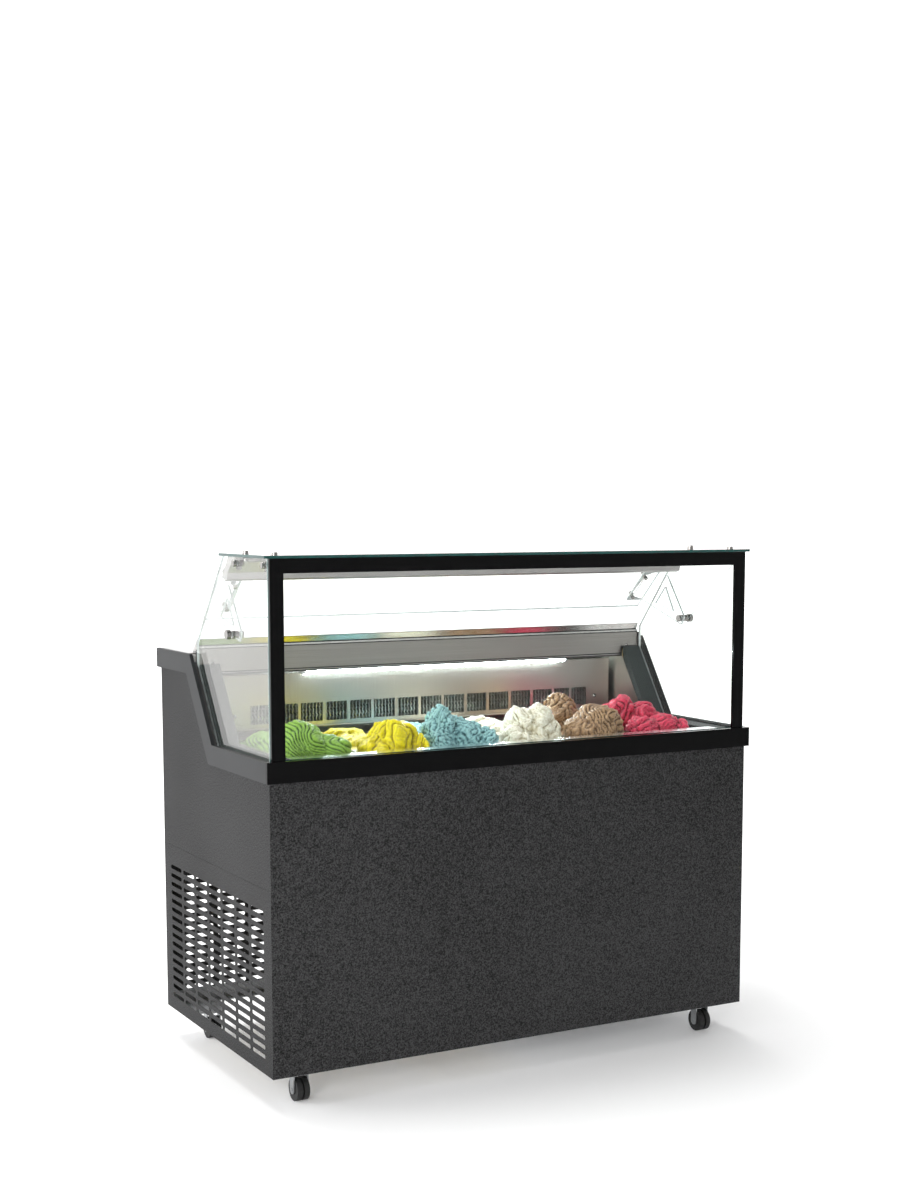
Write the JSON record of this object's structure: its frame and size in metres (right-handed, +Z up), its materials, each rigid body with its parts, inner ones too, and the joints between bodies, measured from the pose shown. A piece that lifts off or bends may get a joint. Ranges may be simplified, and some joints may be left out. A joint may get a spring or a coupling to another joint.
{
  "type": "ice cream dipping cabinet",
  "caption": "Refrigerated dipping cabinet on casters: insulated well with a row of gelato pans under a glass box, stepped top band, rear work shelf, tilting rear flap and vented base.",
  "frame": {"origin": "on the floor under the middle of the cabinet", "axes": "+X along the cabinet's width, to the customer's right when facing the glass; +Y from the customer's side to the operator's side; +Z up"},
  "size_m": [1.216, 0.658, 1.152],
  "materials": {
    "body_paint": "fine textured graphite powder coat",
    "frame_paint": "semi-matt dark grey powder coat",
    "trim_black": "satin to glossy black",
    "foam": "rigid insulation foam",
    "stainless": "fine brushed stainless",
    "rim_metal": "polished metal",
    "cheek_plastic": "dark green-grey moulded plastic",
    "clear_glass": "clear tempered glass with green-blue edges",
    "clear_acrylic": "clear acrylic",
    "chrome": "polished",
    "bracket_metal": "satin anodised",
    "gasket_rubber": "matt black",
    "light_diffuser": "lit opal diffuser",
    "fin_metal": "finned coil",
    "machine_black": "semi-gloss black enamel",
    "copper": "drawn copper tube",
    "control_black": "black moulded plastic",
    "zinc": "bright zinc plate",
    "wheel_rubber": "black twin wheel",
    "gelato_pistachio": "soft gelato, moist",
    "gelato_lemon": "soft gelato, moist",
    "gelato_turquoise_cream": "soft gelato, moist",
    "gelato_vanilla": "soft gelato, moist",
    "gelato_chocolate": "soft gelato, moist",
    "gelato_berry": "soft gelato, moist"
  },
  "bodies": {
    "root": {"front_panel": "body_paint", "side_panels": "body_paint", "side_grilles": "body_paint", "rear_panel": "body_paint", "rear_grille": "body_paint", "base_frame": "frame_paint", "front_rail": "trim_black", "side_rails": "trim_black", "front_glass_frame": "trim_black", "tank_foam": "foam", "tank_liner": "stainless", "rear_shelf": "stainless", "rear_fascia": "stainless", "front_ledge": "stainless", "evaporator_cover": "stainless", "pan_rails": "stainless", "rear_rim": "rim_metal", "side_cheeks": "cheek_plastic", "front_glass": "clear_glass", "side_glasses": "clear_glass", "top_glass": "clear_glass", "glass_fasteners": "chrome", "glass_brackets": "bracket_metal", "top_profile": "bracket_metal", "glass_gaskets": "gasket_rubber", "led_bar": "light_diffuser", "evaporator_coil": "fin_metal", "condenser": "fin_metal", "compressor": "machine_black", "fan_motors": "machine_black", "refrigerant_pipes": "copper", "control_panel": "control_black", "power_inlet": "control_black", "caster_plates": "zinc"},
    "flap": {"flap_sheet": "clear_acrylic", "flap_brackets": "clear_acrylic", "flap_screws": "chrome"},
    "pan_1": {"pan_1": "stainless", "gelato_1": "gelato_pistachio"},
    "pan_2": {"pan_2": "stainless", "gelato_2": "gelato_lemon"},
    "pan_3": {"pan_3": "stainless", "gelato_3": "gelato_turquoise_cream"},
    "pan_4": {"pan_4": "stainless", "gelato_4": "gelato_vanilla"},
    "pan_5": {"pan_5": "stainless", "gelato_5": "gelato_chocolate"},
    "pan_6": {"pan_6": "stainless", "gelato_6": "gelato_berry"},
    "condenser_fan": {"condenser_fan": "machine_black"},
    "evaporator_fan": {"evaporator_fan": "machine_black"},
    "power_switch": {"power_switch": "control_black"},
    "caster_fork_front_left": {"caster_fork_front_left": "zinc"},
    "caster_wheels_front_left": {"caster_wheels_front_left": "wheel_rubber"},
    "caster_fork_front_right": {"caster_fork_front_right": "zinc"},
    "caster_wheels_front_right": {"caster_wheels_front_right": "wheel_rubber"},
    "caster_fork_rear_left": {"caster_fork_rear_left": "zinc"},
    "caster_wheels_rear_left": {"caster_wheels_rear_left": "wheel_rubber"},
    "caster_fork_rear_right": {"caster_fork_rear_right": "zinc"},
    "caster_wheels_rear_right": {"caster_wheels_rear_right": "wheel_rubber"}
  },
  "joints": [
    {"name": "flap_tilt", "type": "hinge", "parent": "root", "child": "flap", "pos_m": [0, -0.1, 0.975], "axis": [1, 0, 0], "range_deg": [-45, 8]},
    {"name": "pan_lift_1", "type": "slide", "parent": "root", "child": "pan_1", "axis": [0, 0, 1], "range_m": [0, 0.14]},
    {"name": "pan_lift_2", "type": "slide", "parent": "root", "child": "pan_2", "axis": [0, 0, 1], "range_m": [0, 0.14]},
    {"name": "pan_lift_3", "type": "slide", "parent": "root", "child": "pan_3", "axis": [0, 0, 1], "range_m": [0, 0.14]},
    {"name": "pan_lift_4", "type": "slide", "parent": "root", "child": "pan_4", "axis": [0, 0, 1], "range_m": [0, 0.14]},
    {"name": "pan_lift_5", "type": "slide", "parent": "root", "child": "pan_5", "axis": [0, 0, 1], "range_m": [0, 0.14]},
    {"name": "pan_lift_6", "type": "slide", "parent": "root", "child": "pan_6", "axis": [0, 0, 1], "range_m": [0, 0.14]},
    {"name": "condenser_fan_spin", "type": "hinge", "parent": "root", "child": "condenser_fan", "pos_m": [0.486, 0, 0.213], "axis": [1, 0, 0], "continuous": true},
    {"name": "evaporator_fan_spin", "type": "hinge", "parent": "root", "child": "evaporator_fan", "pos_m": [0, 0.197, 0.645], "axis": [0, 1, 0], "continuous": true},
    {"name": "power_switch_rock", "type": "hinge", "parent": "root", "child": "power_switch", "pos_m": [0.5, 0.3252, 0.385], "axis": [1, 0, 0], "range_deg": [0, 12]},
    {"name": "caster_swivel_front_left", "type": "hinge", "parent": "root", "child": "caster_fork_front_left", "pos_m": [-0.52, -0.255, 0.0575], "axis": [0, 0, 1], "continuous": true},
    {"name": "caster_roll_front_left", "type": "hinge", "parent": "caster_fork_front_left", "child": "caster_wheels_front_left", "pos_m": [-0.52, -0.27, 0.025], "axis": [1, 0, 0], "continuous": true},
    {"name": "caster_swivel_front_right", "type": "hinge", "parent": "root", "child": "caster_fork_front_right", "pos_m": [0.52, -0.255, 0.0575], "axis": [0, 0, 1], "continuous": true},
    {"name": "caster_roll_front_right", "type": "hinge", "parent": "caster_fork_front_right", "child": "caster_wheels_front_right", "pos_m": [0.52, -0.27, 0.025], "axis": [1, 0, 0], "continuous": true},
    {"name": "caster_swivel_rear_left", "type": "hinge", "parent": "root", "child": "caster_fork_rear_left", "pos_m": [-0.52, 0.255, 0.0575], "axis": [0, 0, 1], "continuous": true},
    {"name": "caster_roll_rear_left", "type": "hinge", "parent": "caster_fork_rear_left", "child": "caster_wheels_rear_left", "pos_m": [-0.52, 0.24, 0.025], "axis": [1, 0, 0], "continuous": true},
    {"name": "caster_swivel_rear_right", "type": "hinge", "parent": "root", "child": "caster_fork_rear_right", "pos_m": [0.52, 0.255, 0.0575], "axis": [0, 0, 1], "continuous": true},
    {"name": "caster_roll_rear_right", "type": "hinge", "parent": "caster_fork_rear_right", "child": "caster_wheels_rear_right", "pos_m": [0.52, 0.24, 0.025], "axis": [1, 0, 0], "continuous": true}
  ]
}
